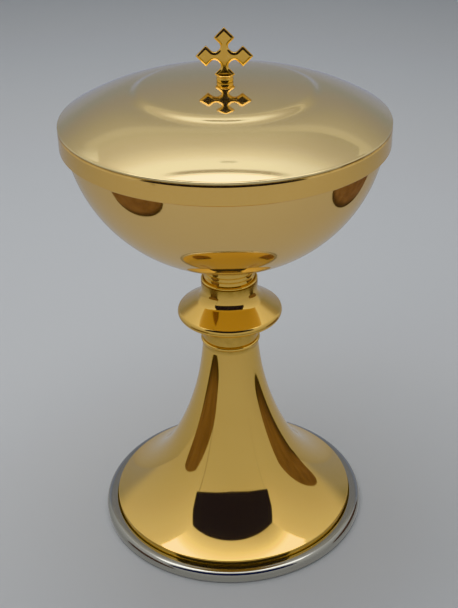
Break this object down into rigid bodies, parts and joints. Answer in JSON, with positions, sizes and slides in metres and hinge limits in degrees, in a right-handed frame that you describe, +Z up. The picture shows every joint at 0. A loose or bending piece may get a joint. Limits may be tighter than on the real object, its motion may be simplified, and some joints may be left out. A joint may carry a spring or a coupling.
{
  "type": "ciborium vessel",
  "caption": "Covered altar vessel: round gold bowl and domed lid with a cross finial, on a knopped stem and trumpet foot with a nickel base ring.",
  "frame": {"origin": "on the vessel's axis, in the plane that the base ring stands on", "axes": "+Z up along the axis of the vessel; the cross lies in the XZ plane, facing -Y"},
  "size_m": [0.141, 0.141, 0.2418],
  "materials": {
    "nickel": "polished nickel plate",
    "gold_foot": "polished gold plate on brass",
    "gold_stem": "polished gold plate on turned brass",
    "gold_bowl": "polished gold plate on spun brass",
    "gold_lid": "polished gold plate on spun brass",
    "gold_finial": "gold plate on cast and turned brass",
    "plain_brass": "turned, unplated",
    "steel": "plain zinc-plated fastener"
  },
  "bodies": {
    "stand": {"base_ring": "nickel", "foot": "gold_foot", "bridge_washer": "steel", "spring_washer": "steel", "tie_nut": "steel", "tie_rod": "steel", "lower_collar": "gold_stem", "knop_lower": "gold_stem", "knop_upper": "gold_stem", "knop_spacer": "plain_brass", "knop_bead": "gold_stem", "neck": "gold_stem", "bowl_boss": "plain_brass", "bowl": "gold_bowl"},
    "lid": {"lid_band": "gold_lid", "lid_dome": "gold_lid"},
    "finial": {"finial_spool": "gold_finial", "cross": "gold_finial", "finial_stud": "steel", "finial_washer": "steel", "finial_nut": "steel"}
  },
  "joints": [
    {"name": "lid_lift", "type": "slide", "parent": "stand", "child": "lid", "axis": [0, 0, 1], "range_m": [0, 0.12]},
    {"name": "lid_turn", "type": "hinge", "parent": "lid", "child": "finial", "pos_m": [0, 0, 0.219], "axis": [0, 0, 1], "continuous": true}
  ]
}
